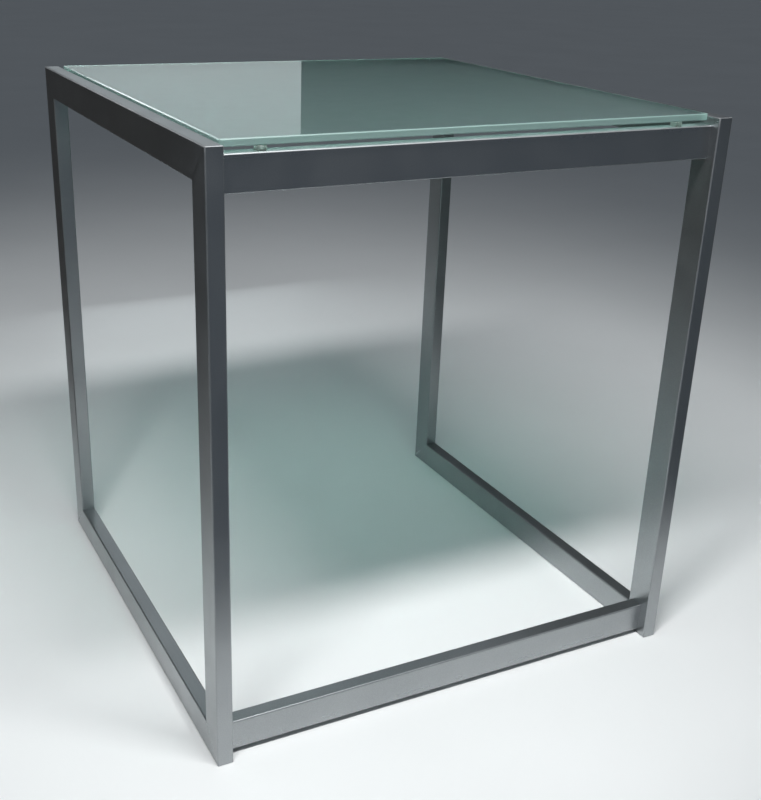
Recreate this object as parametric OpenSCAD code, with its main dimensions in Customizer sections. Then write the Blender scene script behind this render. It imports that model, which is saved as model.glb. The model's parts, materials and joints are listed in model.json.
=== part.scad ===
// Glass-topped display pedestal.
// Two closed side frames of flat rectangular tube, mitred at the corners and
// ground smooth, are joined by a top rail at the front, a top rail at the back
// and a bottom rail at the front. A loose glass shelf lies between the side
// frames on four clear pads.
// The origin is on the floor at the centre of the footprint, and the front
// faces -Y.

/* [Frame] */
// Width across the outer faces of the two side frames
frame_w = 500; // [300:1:1200]
// Depth of a side frame, from front to back
frame_d = 500; // [300:1:1200]
// Height of a side frame
frame_h = 550; // [300:1:1200]

/* [Flat tube] */
// Wide side of the tube, in the plane of each frame
tube_wide = 30; // [24:1:60]
// Narrow side of the tube, seen from the front of a leg
tube_narrow = 15; // [13:0.5:30]
// Wall thickness of the tube
tube_wall = 1.2; // [0.8:0.1:1.4]
// Outer radius of the tube's long edges
tube_edge_r = 1.5; // [1.3:0.1:2.5]
// Radius ground on the outer corners of a side frame
corner_r = 0.8; // [0.5:0.1:3.5]

/* [Cross rails] */
// Distance of the top rails below the top of the side frames
top_rail_drop = 8; // [4:0.5:20]
// Distance of the top rails behind the front and back faces
top_rail_inset = 10; // [7:0.5:15]
// Distance of the front bottom rail behind the front face
bottom_rail_inset = 11; // [3:0.5:15]
// Gap between the floor and the front bottom rail
bottom_rail_lift = 5; // [0:0.5:40]

/* [Glass] */
// Thickness of the glass
glass_t = 6; // [4:1:15]
// Gap between the glass and each side frame
glass_side_gap = 1.5; // [0.5:0.1:5]
// Distance of the glass edge behind the front and back faces
glass_inset = 14; // [4:0.5:17]
// Width of the bevel ground along every glass edge
glass_arris = 0.8; // [0.3:0.1:1.5]
// Radius of the glass corners, seen from above
glass_corner_r = 2; // [0.5:0.5:20]

/* [Pads] */
// Diameter of a clear pad
pad_d = 10; // [6:0.5:11.5]
// Height of a clear pad
pad_h = 4; // [1:0.5:6]
// Distance of a pad's centre from the outer face of its side frame
pad_from_side = 50; // [30:1:120]
// Width of the bevel round the top of a pad
pad_bevel = 0.6; // [0.2:0.1:1]

/* [Hidden] */
$fn = 48;
tube_inner_r = tube_edge_r - tube_wall;
side_x = (frame_w - tube_narrow) / 2;
cross_rail_l = frame_w - 2 * tube_narrow;
top_rail_y = frame_d / 2 - top_rail_inset - tube_narrow / 2;
top_rail_z = frame_h - top_rail_drop - tube_wide / 2;
bottom_rail_y = frame_d / 2 - bottom_rail_inset - tube_narrow / 2;
bottom_rail_z = bottom_rail_lift + tube_wide / 2;
pad_x = frame_w / 2 - pad_from_side;
pad_z = frame_h - top_rail_drop;
glass_w = cross_rail_l - 2 * glass_side_gap;
glass_d = frame_d - 2 * glass_inset;
glass_z = pad_z + pad_h;
steel_colour = [0.49, 0.53, 0.55];
glass_colour = [0.62, 0.72, 0.71, 0.6];
pad_colour = [0.83, 0.88, 0.86, 0.7];

// Rectangle centred on the origin, with arcs of radius r at its corners
module rounded_rect(w, h, r) {
    square([w - 2 * r, h], center = true);
    square([w, h - 2 * r], center = true);
    for (x = [-1, 1], y = [-1, 1])
        translate([x * (w / 2 - r), y * (h / 2 - r)])
            circle(r);
}

// Length of tube that stands on the origin, narrow across X and wide across Y
module tube(length) {
    linear_extrude(length)
        difference() {
            rounded_rect(tube_narrow, tube_wide, tube_edge_r);
            rounded_rect(tube_narrow - 2 * tube_wall, tube_wide - 2 * tube_wall, tube_inner_r);
        }
}

// Stands a drawing up in the plane of a side frame: its x runs to the back
// and its y runs up
module in_side_plane() {
    rotate([90, 0, 90])
        linear_extrude(tube_narrow + 2, center = true)
            children();
}

// Outline of a side frame with its outer corners ground round
module side_outline() {
    translate([0, frame_h / 2])
        rounded_rect(frame_d, frame_h, corner_r);
}

// Front leg of a side frame, cut at 45 degrees at both ends
module mitred_leg() {
    front = -frame_d / 2;
    color(steel_colour)
        intersection() {
            translate([0, front + tube_wide / 2, 0])
                tube(frame_h);
            in_side_plane()
                intersection() {
                    side_outline();
                    polygon([
                        [front, 0],
                        [front + tube_wide, tube_wide],
                        [front + tube_wide, frame_h - tube_wide],
                        [front, frame_h]
                    ]);
                }
        }
}

// Bottom rail of a side frame, cut at 45 degrees at both ends
module mitred_rail() {
    half = frame_d / 2;
    color(steel_colour)
        intersection() {
            translate([0, -half, tube_wide / 2])
                rotate([-90, 0, 0])
                    tube(frame_d);
            in_side_plane()
                intersection() {
                    side_outline();
                    polygon([
                        [-half, 0],
                        [half, 0],
                        [half - tube_wide, tube_wide],
                        [-half + tube_wide, tube_wide]
                    ]);
                }
        }
}

// Moves a member to the left frame (side -1) or to the right frame (side 1)
module on_side(side) {
    translate([side * side_x, 0, 0])
        children();
}

module front_leg(side) {
    on_side(side) mitred_leg();
}

module rear_leg(side) {
    on_side(side) mirror([0, 1, 0]) mitred_leg();
}

module bottom_rail(side) {
    on_side(side) mitred_rail();
}

module top_rail(side) {
    on_side(side)
        translate([0, 0, frame_h])
            mirror([0, 0, 1])
                mitred_rail();
}

// Square-cut rail between the inner faces of the two side frames
module cross_rail(y, z) {
    color(steel_colour)
        translate([-cross_rail_l / 2, y, z])
            rotate([90, 0, 90])
                tube(cross_rail_l);
}

// Section of a bevelled pane of width w, standing on the x axis
module pane_section(w) {
    polygon([
        [-w / 2 + glass_arris, 0],
        [w / 2 - glass_arris, 0],
        [w / 2, glass_arris],
        [w / 2, glass_t - glass_arris],
        [w / 2 - glass_arris, glass_t],
        [-w / 2 + glass_arris, glass_t],
        [-w / 2, glass_t - glass_arris],
        [-w / 2, glass_arris]
    ]);
}

// Loose pane with a bevel along its top and bottom edges
module glass_top() {
    color(glass_colour)
        translate([0, 0, glass_z])
            intersection() {
                linear_extrude(glass_t)
                    rounded_rect(glass_w, glass_d, glass_corner_r);
                rotate([90, 0, 0])
                    linear_extrude(glass_d, center = true)
                        pane_section(glass_w);
                rotate([90, 0, 90])
                    linear_extrude(glass_w, center = true)
                        pane_section(glass_d);
            }
}

// Clear self-adhesive pad on a top rail: side -1 is left, end -1 is front
module pad(side, end) {
    color(pad_colour)
        translate([side * pad_x, end * top_rail_y, pad_z])
            rotate_extrude()
                polygon([
                    [0, 0],
                    [pad_d / 2, 0],
                    [pad_d / 2, pad_h - pad_bevel],
                    [pad_d / 2 - pad_bevel, pad_h],
                    [0, pad_h]
                ]);
}

front_leg(-1);  // left_front_leg
rear_leg(-1);  // left_rear_leg
top_rail(-1);  // left_top_rail
bottom_rail(-1);  // left_bottom_rail
front_leg(1);  // right_front_leg
rear_leg(1);  // right_rear_leg
top_rail(1);  // right_top_rail
bottom_rail(1);  // right_bottom_rail
cross_rail(-top_rail_y, top_rail_z);  // front_top_rail
cross_rail(top_rail_y, top_rail_z);  // rear_top_rail
cross_rail(-bottom_rail_y, bottom_rail_z);  // front_bottom_rail
glass_top();
pad(-1, -1);  // front_left_pad
pad(1, -1);  // front_right_pad
pad(-1, 1);  // rear_left_pad
pad(1, 1);  // rear_right_pad
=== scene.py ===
"""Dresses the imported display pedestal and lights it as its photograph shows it."""

import json
import math

import bpy
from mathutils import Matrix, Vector


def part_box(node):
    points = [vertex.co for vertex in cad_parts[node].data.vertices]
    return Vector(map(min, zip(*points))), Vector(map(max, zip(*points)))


# Camera, from the frame's edges in the photograph
CAMERA_PLACE = (-0.5244, -1.0241, 0.6954)
CAMERA_TURN = (67.441, -1.756, -27.003)
CAMERA_LENS = 51.184
CAMERA_SHIFT = (0.0239, 0.0026)
CAMERA_CLIP = (0.05, 100.0)
SENSOR = 36.0

# Sizes of the pedestal that its finishes follow, in metres
TUBE_WIDE = 0.030
WELD_HALF_WIDTH = 0.006
WELD_FADE = 0.002
GLASS_ARRIS = 0.0008
GLASS_MARGIN = 0.015

# The range that most values of a noise lie in
NOISE_RANGE = (0.3, 0.7)

# Coating of the frame, with the cells of each noise in a metre
CLOUD_CELLS = 9.0
GLOSS_CELLS = 30.0
PEEL_CELLS = 420.0
GRAIN_CELLS = 1300.0
STREAK_CELLS = (700.0, 700.0, 9.0)
SILVER_SHADES = ((0.336, 0.352, 0.363), (0.368, 0.384, 0.394))
GRAIN_COLOUR = (0.46, 0.48, 0.49)
STREAK_COLOUR = (0.28, 0.305, 0.32)
WORN_COLOUR = (0.50, 0.52, 0.53)
SILVER_METALLIC = 0.97
SILVER_ROUGHNESS = (0.31, 0.37)
WELD_SMOOTHER = 0.05
EDGE_ROUGHER = 0.15
GROUND_EDGE_ROUGHER = 0.25

# Glass: a polished top, an etched underside and a ground rim
GLASS_COLOUR = (0.59, 0.71, 0.69)
RIM_COLOUR = (0.31, 0.44, 0.42)
RIM_TRANSMISSION = 0.45
GLASS_IOR = 1.52
POLISHED_ROUGHNESS = 0.015
SMUDGE_ROUGHNESS = 0.05
ETCHED_ROUGHNESS = (0.85, 0.95)
GROUND_ROUGHNESS = (0.30, 0.34)
ABSORBED_COLOUR = (0.12, 0.78, 0.60, 1.0)
ABSORPTION = 8.0
LAMP_TINT = (0.04, 0.15, 0.12)
MARGIN_TINT = (0.85, 0.92, 0.90)

# Pads and table top
PAD_SHADES = ((0.50, 0.60, 0.55), (0.60, 0.70, 0.64))
PAD_ROUGHNESS = (0.25, 0.40)
PAD_TRANSMISSION = 0.92
PAD_IOR = 1.48
PAD_TINT = (0.7, 0.75, 0.73, 1.0)
TABLE_SHADES = ((0.81, 0.83, 0.83), (0.84, 0.86, 0.86))
TABLE_ROUGHNESS = (0.45, 0.55)
TABLE_SPECULAR = 0.3
FLOOR_SIDE = 60.0
FLOOR_Z = -0.0001

# A row of shaded lamps above the front, which casts the photograph's shadow
KEY_PLACES = [(x, -0.614, 1.5) for x in (-0.68, -0.49, -0.30, -0.11, 0.08)]
KEY_AIM = (0.06, 0.26, 0.0)
KEY_POWER = 20.0
KEY_RADIUS = 0.10
KEY_ANGLE = 76.0
KEY_BLEND = 0.7

# A small lamp behind, which glints on the left side's upper edges
GLINT_PLACE = (-0.52, 1.83, 1.11)
GLINT_AIM = (-0.245, -0.075, 0.555)
GLINT_POWER = 8.0
GLINT_RADIUS = 0.05
GLINT_ANGLE = 7.0
GLINT_BLEND = 1.0

# A white board behind, mirrored in the left half of the glass
BOARD_PLACE = (0.179, 1.11, 0.65)
BOARD_AIM = (0.179, 0.0, 0.65)
BOARD_SIZE = (0.518, 1.2)
BOARD_POWER = 0.955
BOARD_COLOUR = (0.90, 0.98, 1.0)

# A faint panel behind on the right, mirrored in the tops of the bottom rails
CEILING_PLACE = (0.75, 1.12, 1.35)
CEILING_AIM = (-0.1, -0.2, 0.03)
CEILING_SIZE = (0.7, 0.5)
CEILING_POWER = 0.6
CEILING_COLOUR = (0.88, 0.95, 1.0)

# The room's own light, what is seen of it, and what reflections find low down
ROOM_COLOUR = (0.102, 0.113, 0.127)
BACKDROP_COLOUR = (0.088, 0.099, 0.112)
HORIZON_COLOUR = (0.010, 0.011, 0.012)
HORIZON_SINES = (0.147, 0.088)

# Cards round the pedestal that glow evenly and only reflections show, which paint dark
# reflections where there is only shade: start, end and colour
CARD_TOP = 0.55
DARK_REFLECTION_CARDS = {
    "front_dark_reflection_card": ((-0.45, -0.455), (0.47, -0.455), (0.092, 0.109, 0.130)),
    "right_dark_reflection_card": ((0.47, -0.455), (0.47, 0.6), (0.050, 0.058, 0.060)),
    "left_dark_reflection_card": ((-0.39, 0.0), (-0.39, 1.3), (0.030, 0.029, 0.028)),
}


def add_node(tree, kind, inputs=None, **settings):
    """Adds a node, with a value or another node's output for each named input."""
    node = tree.nodes.new(kind)
    for name, value in settings.items():
        setattr(node, name, value)
    for name, value in (inputs or {}).items():
        if isinstance(value, bpy.types.NodeSocket):
            tree.links.new(value, node.inputs[name])
        else:
            node.inputs[name].default_value = value
    return node


def maths(tree, operation, *values):
    """Output of a Math node with these inputs in order."""
    inputs = dict(enumerate(values))
    return add_node(tree, "ShaderNodeMath", inputs, operation=operation).outputs[0]


def ramp(tree, value, start, end, low=0.0, high=1.0):
    """Carries value from start..end over to low..high, with smooth ends."""
    inputs = {
        "Value": value,
        "From Min": start,
        "From Max": end,
        "To Min": low,
        "To Max": high,
    }
    node = add_node(
        tree, "ShaderNodeMapRange", inputs, interpolation_type="SMOOTHSTEP"
    )
    return node.outputs["Result"]


def noise(tree, vector, scale, detail=3.0):
    """Output of a noise with about scale cells in a metre, from 0 to 1."""
    inputs = {"Vector": vector, "Scale": scale, "Detail": detail}
    return add_node(tree, "ShaderNodeTexNoise", inputs).outputs["Fac"]


def stretched(tree, vector, scale):
    """The vector multiplied by scale along each axis."""
    inputs = {0: vector, 1: scale}
    node = add_node(tree, "ShaderNodeVectorMath", inputs, operation="MULTIPLY")
    return node.outputs["Vector"]


def separated(tree, vector):
    """The x, y and z of a vector."""
    return add_node(tree, "ShaderNodeSeparateXYZ", {"Vector": vector}).outputs


def coordinates(tree, kind="Object"):
    """Place on the piece, or in the sky, and its x, y and z."""
    place = add_node(tree, "ShaderNodeTexCoord").outputs[kind]
    return place, separated(tree, place)


def blended(tree, share, first, second):
    """Colour between first and second, which are colours or outputs."""
    node = add_node(tree, "ShaderNodeMix", data_type="RGBA")
    tree.links.new(share, node.inputs["Factor"])
    sockets = [socket for socket in node.inputs if socket.type == "RGBA"]
    for socket, value in zip(sockets, (first, second)):
        if isinstance(value, bpy.types.NodeSocket):
            tree.links.new(value, socket)
        else:
            socket.default_value = (*value, 1.0)
    return next(socket for socket in node.outputs if socket.type == "RGBA")


def bumped(tree, height, strength, distance):
    """Normal of a surface with this relief."""
    inputs = {"Strength": strength, "Distance": distance, "Height": height}
    return add_node(tree, "ShaderNodeBump", inputs).outputs["Normal"]


def new_material(name):
    """An empty node material, its tree and its output node."""
    material = bpy.data.materials.new(name)
    material.use_nodes = True
    tree = material.node_tree
    tree.nodes.clear()
    return material, tree, tree.nodes.new("ShaderNodeOutputMaterial")


def rounded_edge(tree):
    """1 on the rounded long edges of a tube and 0 on its flat sides."""
    normal = add_node(tree, "ShaderNodeNewGeometry").outputs["Normal"]
    x, y, z = (maths(tree, "ABSOLUTE", axis) for axis in separated(tree, normal))
    widest = maths(tree, "MAXIMUM", maths(tree, "MAXIMUM", x, y), z)
    return ramp(tree, widest, 0.995, 0.85)


def ground_weld(tree, axes, high, half_depth):
    """1 along the ground mitre welds of the side frames, fading out beside them."""
    from_end = maths(tree, "SUBTRACT", half_depth, maths(tree, "ABSOLUTE", axes["Y"]))
    from_top = maths(tree, "SUBTRACT", high, axes["Z"])
    from_edge = maths(tree, "MINIMUM", from_top, axes["Z"])
    off_mitre = maths(tree, "ABSOLUTE", maths(tree, "SUBTRACT", from_end, from_edge))
    on_mitre = ramp(tree, off_mitre, WELD_HALF_WIDTH, 0.0)
    reach = maths(tree, "MAXIMUM", from_end, from_edge)
    in_corner = ramp(tree, reach, TUBE_WIDE + WELD_FADE, TUBE_WIDE)
    return maths(tree, "MULTIPLY", on_mitre, in_corner)


def satin_silver(high, half_depth):
    """Silver-grey metallic coating, a little worn along the tubes' edges."""
    material, tree, output = new_material("satin_silver")
    place, axes = coordinates(tree)
    cloud = ramp(tree, noise(tree, place, CLOUD_CELLS), *NOISE_RANGE)
    grain = noise(tree, place, GRAIN_CELLS, 1.0)
    streak = noise(tree, stretched(tree, place, STREAK_CELLS), 1.0, 2.0)
    edge = rounded_edge(tree)
    weld = ground_weld(tree, axes, high, half_depth)

    grains = ramp(tree, grain, 0.35, 0.75, 0.0, 0.35)
    streaks = ramp(tree, streak, 0.62, 0.8, 0.0, 0.3)
    worn = maths(tree, "MULTIPLY", edge, 0.15)
    colour = blended(tree, cloud, *SILVER_SHADES)
    colour = blended(tree, grains, colour, GRAIN_COLOUR)
    colour = blended(tree, streaks, colour, STREAK_COLOUR)
    colour = blended(tree, worn, colour, WORN_COLOUR)

    gloss = noise(tree, place, GLOSS_CELLS)
    roughness = ramp(tree, gloss, *NOISE_RANGE, *SILVER_ROUGHNESS)
    smoother = maths(tree, "MULTIPLY", weld, WELD_SMOOTHER)
    roughness = maths(tree, "SUBTRACT", roughness, smoother)
    rougher = maths(tree, "MULTIPLY", edge, EDGE_ROUGHER)
    roughness = maths(tree, "ADD", roughness, rougher)
    ground_edge = maths(tree, "MULTIPLY", edge, weld)
    rougher = maths(tree, "MULTIPLY", ground_edge, GROUND_EDGE_ROUGHER)
    roughness = maths(tree, "ADD", roughness, rougher)

    peel = noise(tree, place, PEEL_CELLS, 2.0)
    relief = maths(tree, "ADD", peel, maths(tree, "MULTIPLY", grain, 0.25))
    relief = maths(tree, "SUBTRACT", relief, maths(tree, "MULTIPLY", weld, 0.5))
    shader = add_node(
        tree,
        "ShaderNodeBsdfPrincipled",
        {
            "Base Color": colour,
            "Metallic": SILVER_METALLIC,
            "Roughness": roughness,
            "Normal": bumped(tree, relief, 0.25, 0.0001),
        },
    )
    tree.links.new(shader.outputs["BSDF"], output.inputs["Surface"])
    return material


def lets_lamps_through(tree, output, shader, tint):
    """Joins a glass shader to the output so that lamps still light what is below it."""
    clear = add_node(tree, "ShaderNodeBsdfTransparent", {"Color": tint})
    is_shadow = add_node(tree, "ShaderNodeLightPath").outputs["Is Shadow Ray"]
    parts = {0: is_shadow, 1: shader.outputs["BSDF"], 2: clear.outputs["BSDF"]}
    mixed = add_node(tree, "ShaderNodeMixShader", parts)
    tree.links.new(mixed.outputs["Shader"], output.inputs["Surface"])


def frosted_glass(low, high):
    """Pane with a polished top, ground edges and an etched underside."""
    material, tree, output = new_material("frosted_glass")
    place, axes = coordinates(tree)
    up = maths(tree, "SUBTRACT", axes["Z"], low.z)
    from_side = maths(tree, "SUBTRACT", high.x, maths(tree, "ABSOLUTE", axes["X"]))
    from_end = maths(tree, "SUBTRACT", high.y, maths(tree, "ABSOLUTE", axes["Y"]))
    from_rim = maths(tree, "MINIMUM", from_side, from_end)
    rim = ramp(tree, from_rim, GLASS_ARRIS * 1.2, GLASS_ARRIS)
    under = ramp(tree, up, GLASS_ARRIS * 0.5, 0.0)

    smudge = ramp(tree, noise(tree, place, 5.0, 4.0), 0.45, 0.75, 0.0, SMUDGE_ROUGHNESS)
    etched = ramp(tree, noise(tree, place, 60.0), *NOISE_RANGE, *ETCHED_ROUGHNESS)
    ground = ramp(tree, noise(tree, place, 800.0), *NOISE_RANGE, *GROUND_ROUGHNESS)
    roughness = maths(tree, "ADD", smudge, POLISHED_ROUGHNESS)
    for share, value in ((under, etched), (rim, ground)):
        kept = maths(tree, "MULTIPLY", roughness, maths(tree, "SUBTRACT", 1.0, share))
        roughness = maths(tree, "ADD", kept, maths(tree, "MULTIPLY", share, value))

    relief = maths(tree, "MULTIPLY", noise(tree, place, 2500.0, 1.0), under)
    shader = add_node(
        tree,
        "ShaderNodeBsdfPrincipled",
        {
            "Base Color": blended(tree, rim, GLASS_COLOUR, RIM_COLOUR),
            "Roughness": roughness,
            "IOR": GLASS_IOR,
            "Transmission Weight": ramp(tree, rim, 0.0, 1.0, 1.0, RIM_TRANSMISSION),
            "Normal": bumped(tree, relief, 0.08, 0.00002),
        },
    )
    margin = ramp(tree, from_end, GLASS_MARGIN, GLASS_MARGIN / 3)
    tint = blended(tree, margin, LAMP_TINT, MARGIN_TINT)
    lets_lamps_through(tree, output, shader, tint)
    absorbed = {"Color": ABSORBED_COLOUR, "Density": ABSORPTION}
    volume = add_node(tree, "ShaderNodeVolumeAbsorption", absorbed)
    tree.links.new(volume.outputs["Volume"], output.inputs["Volume"])
    return material


def clear_pad():
    """Soft clear plastic with a faint haze."""
    material, tree, output = new_material("clear_pad")
    place, _ = coordinates(tree)
    haze = noise(tree, place, 700.0)
    shader = add_node(
        tree,
        "ShaderNodeBsdfPrincipled",
        {
            "Base Color": blended(tree, haze, *PAD_SHADES),
            "Roughness": ramp(tree, haze, 0.2, 0.8, *PAD_ROUGHNESS),
            "IOR": PAD_IOR,
            "Transmission Weight": PAD_TRANSMISSION,
            "Normal": bumped(tree, haze, 0.3, 0.0001),
        },
    )
    lets_lamps_through(tree, output, shader, PAD_TINT)
    return material


def white_board():
    """Off-white laminate of the table top, faintly uneven."""
    material, tree, output = new_material("white_board")
    place, _ = coordinates(tree)
    cloud = ramp(tree, noise(tree, place, 2.5), *NOISE_RANGE)
    gloss = noise(tree, place, 40.0)
    shader = add_node(
        tree,
        "ShaderNodeBsdfPrincipled",
        {
            "Base Color": blended(tree, cloud, *TABLE_SHADES),
            "Roughness": ramp(tree, gloss, *NOISE_RANGE, *TABLE_ROUGHNESS),
            "Specular IOR Level": TABLE_SPECULAR,
        },
    )
    tree.links.new(shader.outputs["BSDF"], output.inputs["Surface"])
    return material


def dress(nodes, names, material):
    """Gives these CAD nodes one material."""
    for name in names:
        mesh = nodes[name].data
        mesh.materials.clear()
        mesh.materials.append(material)


def staged_quad(name, corners, material):
    """A flat sheet between four corners that isn't part of the object."""
    mesh = bpy.data.meshes.new(name)
    mesh.from_pydata(corners, [], [(0, 1, 2, 3)])
    mesh.materials.append(material)
    sheet = bpy.data.objects.new(name, mesh)
    bpy.context.scene.collection.objects.link(sheet)
    return sheet


def add_floor(material):
    """A wide plane at the height that the pedestal stands on."""
    half = FLOOR_SIDE / 2
    corners = [(-half, -half), (half, -half), (half, half), (-half, half)]
    staged_quad("floor", [(x, y, FLOOR_Z) for x, y in corners], material)


def add_dark_reflection_card(name, start, end, colour):
    """An upright card of even brightness that stands on the floor from start to end,
    glowing and seen only in reflections: a painted dark reflection where there is only
    shade.
    """
    material, tree, output = new_material(name)
    glow = add_node(tree, "ShaderNodeEmission", {"Color": (*colour, 1.0)})
    tree.links.new(glow.outputs["Emission"], output.inputs["Surface"])
    corners = [(*start, 0.0), (*end, 0.0), (*end, CARD_TOP), (*start, CARD_TOP)]
    card = staged_quad(name, corners, material)
    card.visible_camera = card.visible_diffuse = card.visible_shadow = False
    card.visible_transmission = card.visible_volume_scatter = False


def add_lamp(name, data, place, aim):
    """A lamp that shines from its place towards aim and that the camera doesn't see."""
    lamp = bpy.data.objects.new(name, data)
    lamp.location = place
    beam = Vector(aim) - Vector(place)
    lamp.rotation_euler = beam.to_track_quat("-Z", "Y").to_euler()
    lamp.visible_camera = False
    bpy.context.scene.collection.objects.link(lamp)


def panel(name, size, power, colour):
    """A soft rectangular light."""
    data = bpy.data.lights.new(name, "AREA")
    data.shape = "RECTANGLE"
    data.size, data.size_y = size
    data.energy = power
    data.color = colour
    return data


def spot(name, power, radius, angle, blend):
    """A round light whose beam is angle degrees wide."""
    data = bpy.data.lights.new(name, "SPOT")
    data.energy = power
    data.shadow_soft_size = radius
    data.spot_size = math.radians(angle)
    data.spot_blend = blend
    return data


def add_lamps():
    """Adds the key row, the board, the ceiling panel and the glint."""
    key = spot("key", KEY_POWER, KEY_RADIUS, KEY_ANGLE, KEY_BLEND)
    for number, place in enumerate(KEY_PLACES, 1):
        add_lamp(f"key_{number}", key, place, KEY_AIM)
    board = panel("board", BOARD_SIZE, BOARD_POWER, BOARD_COLOUR)
    add_lamp("board", board, BOARD_PLACE, BOARD_AIM)
    ceiling = panel("ceiling", CEILING_SIZE, CEILING_POWER, CEILING_COLOUR)
    add_lamp("ceiling", ceiling, CEILING_PLACE, CEILING_AIM)
    glint = spot("glint", GLINT_POWER, GLINT_RADIUS, GLINT_ANGLE, GLINT_BLEND)
    add_lamp("glint", glint, GLINT_PLACE, GLINT_AIM)


def add_world():
    """The even, dim light of the room, seen as dark as the floor in the distance.

    Reflections find it darker still near the horizon, as the photograph's shop is.
    """
    world = bpy.data.worlds.new("room")
    world.use_nodes = True
    tree = world.node_tree
    rays = add_node(tree, "ShaderNodeLightPath").outputs
    seen = maths(tree, "MAXIMUM", rays["Is Camera Ray"], rays["Is Glossy Ray"])
    seen = maths(tree, "MAXIMUM", seen, rays["Is Transmission Ray"])
    _, axes = coordinates(tree, "Generated")
    low = ramp(tree, axes["Z"], *HORIZON_SINES)
    low = maths(tree, "MULTIPLY", low, rays["Is Glossy Ray"])
    colour = blended(tree, seen, ROOM_COLOUR, BACKDROP_COLOUR)
    colour = blended(tree, low, colour, HORIZON_COLOUR)
    background = tree.nodes["Background"]
    tree.links.new(colour, background.inputs["Color"])
    background.inputs["Strength"].default_value = 1.0
    bpy.context.scene.world = world


def add_camera():
    """The photograph's camera."""
    data = bpy.data.cameras.new("camera")
    data.sensor_width = SENSOR
    data.lens = CAMERA_LENS
    data.shift_x, data.shift_y = CAMERA_SHIFT
    data.clip_start, data.clip_end = CAMERA_CLIP
    camera = bpy.data.objects.new("camera", data)
    camera.location = CAMERA_PLACE
    camera.rotation_euler = [math.radians(angle) for angle in CAMERA_TURN]
    bpy.context.scene.collection.objects.link(camera)
    bpy.context.scene.camera = camera


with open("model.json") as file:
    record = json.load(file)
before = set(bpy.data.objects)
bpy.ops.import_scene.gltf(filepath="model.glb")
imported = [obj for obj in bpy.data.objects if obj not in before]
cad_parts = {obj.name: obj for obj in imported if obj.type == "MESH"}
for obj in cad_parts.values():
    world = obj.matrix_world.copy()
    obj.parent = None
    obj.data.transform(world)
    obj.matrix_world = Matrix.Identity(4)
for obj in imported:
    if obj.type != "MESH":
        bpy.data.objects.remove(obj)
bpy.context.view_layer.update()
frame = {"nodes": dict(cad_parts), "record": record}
add_camera()
slots = {s["node"]: s["material_slot"] for s in frame["record"]["subparts"]}
side_low, side_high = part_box("left_front_leg")
finishes = {
    "frame": satin_silver(side_high.z, -side_low.y),
    "glass": frosted_glass(*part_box("glass_top")),
    "pad": clear_pad(),
}
for slot, finish in finishes.items():
    dress(frame["nodes"], [n for n, s in slots.items() if s == slot], finish)
add_floor(white_board())
# Glowing cards that paint dark reflections into the metal where there is only shade
for name, (start, end, colour) in DARK_REFLECTION_CARDS.items():
    add_dark_reflection_card(name, start, end, colour)
add_lamps()
add_world()
bpy.context.scene.view_settings.view_transform = "Standard"
